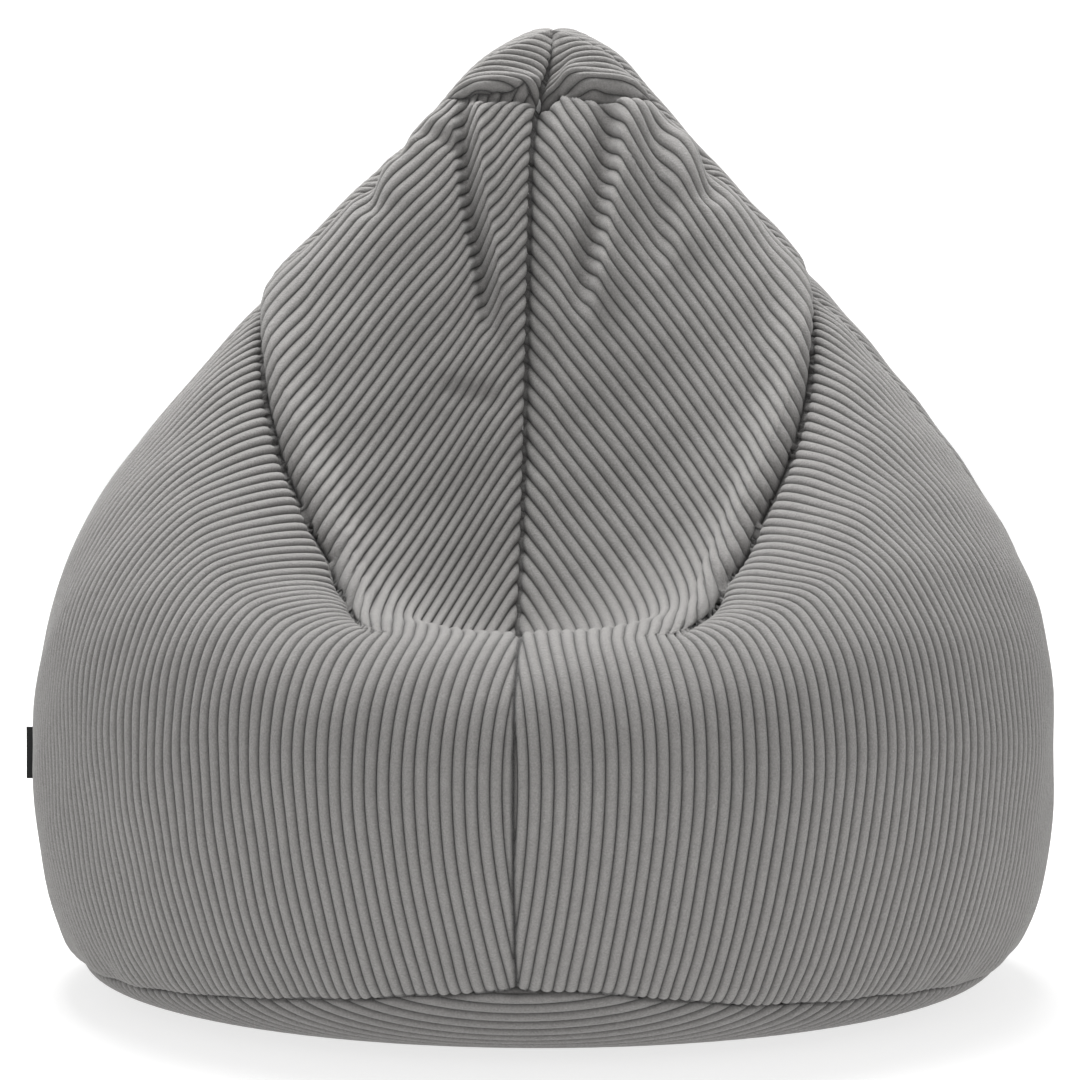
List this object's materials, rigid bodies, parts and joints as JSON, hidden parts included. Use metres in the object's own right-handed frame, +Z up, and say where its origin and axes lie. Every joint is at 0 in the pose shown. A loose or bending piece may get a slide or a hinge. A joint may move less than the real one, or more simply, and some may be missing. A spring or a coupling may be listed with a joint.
{
  "type": "bean bag chair",
  "caption": "Teardrop bean bag chair with a high back and a dished seat: ribbed fabric cover with a base zip, zipped inner liner and bead fill.",
  "frame": {"origin": "on the floor, under the middle of the object's box", "axes": "+Z up, the sitter faces -Y, +X is on the right seen from the front"},
  "size_m": [0.9433, 0.9568, 0.8842],
  "materials": {
    "cover_corduroy": "jumbo corduroy, matte pile",
    "base_corduroy": "jumbo corduroy, matte pile",
    "liner_cloth": "plain woven polyester",
    "beads": "expanded polystyrene beads",
    "zip_tape": "woven tape",
    "zip_coil": "nylon coil",
    "zip_metal": "dark enamel on zinc",
    "black_label": "woven tag, plain",
    "white_label": "satin care label, blank"
  },
  "bodies": {
    "body": {"base_panel": "base_corduroy", "front_right_panel": "cover_corduroy", "front_left_panel": "cover_corduroy", "back_right_panel": "cover_corduroy", "back_left_panel": "cover_corduroy", "side_label": "black_label", "care_label": "white_label", "zip_upper_tape": "zip_tape", "zip_lower_tape": "zip_tape", "zip_upper_coil": "zip_coil", "zip_lower_coil": "zip_coil", "zip_top_stop_upper": "zip_metal", "zip_top_stop_lower": "zip_metal", "zip_bottom_stop": "zip_metal", "liner_front_panel": "liner_cloth", "liner_back_panel": "liner_cloth", "liner_base_panel": "liner_cloth", "liner_zip_front_tape": "zip_tape", "liner_zip_rear_tape": "zip_tape", "liner_zip_front_coil": "zip_coil", "liner_zip_rear_coil": "zip_coil", "liner_zip_left_stop": "zip_metal", "liner_zip_right_stop": "zip_metal", "bead_fill": "beads"},
    "cover_zip": {"zip_slider": "zip_metal"},
    "pull_tab": {"zip_pull_tab": "zip_metal"},
    "liner_zip": {"liner_zip_slider": "zip_metal"}
  },
  "joints": [
    {"name": "cover_zip_slide", "type": "hinge", "parent": "body", "child": "cover_zip", "pos_m": [0, 0.01, 0.03067], "axis": [0, 0, 1], "range_deg": [0, 72]},
    {"name": "pull_tab_swing", "type": "hinge", "parent": "cover_zip", "child": "pull_tab", "pos_m": [0.25395, 0.35953, 0.02901], "axis": [0.3419, 0.4706, 0.8134], "range_deg": [-80, 80]},
    {"name": "liner_zip_slide", "type": "slide", "parent": "body", "child": "liner_zip", "axis": [-1, 0, 0], "range_m": [0, 0.33]}
  ]
}
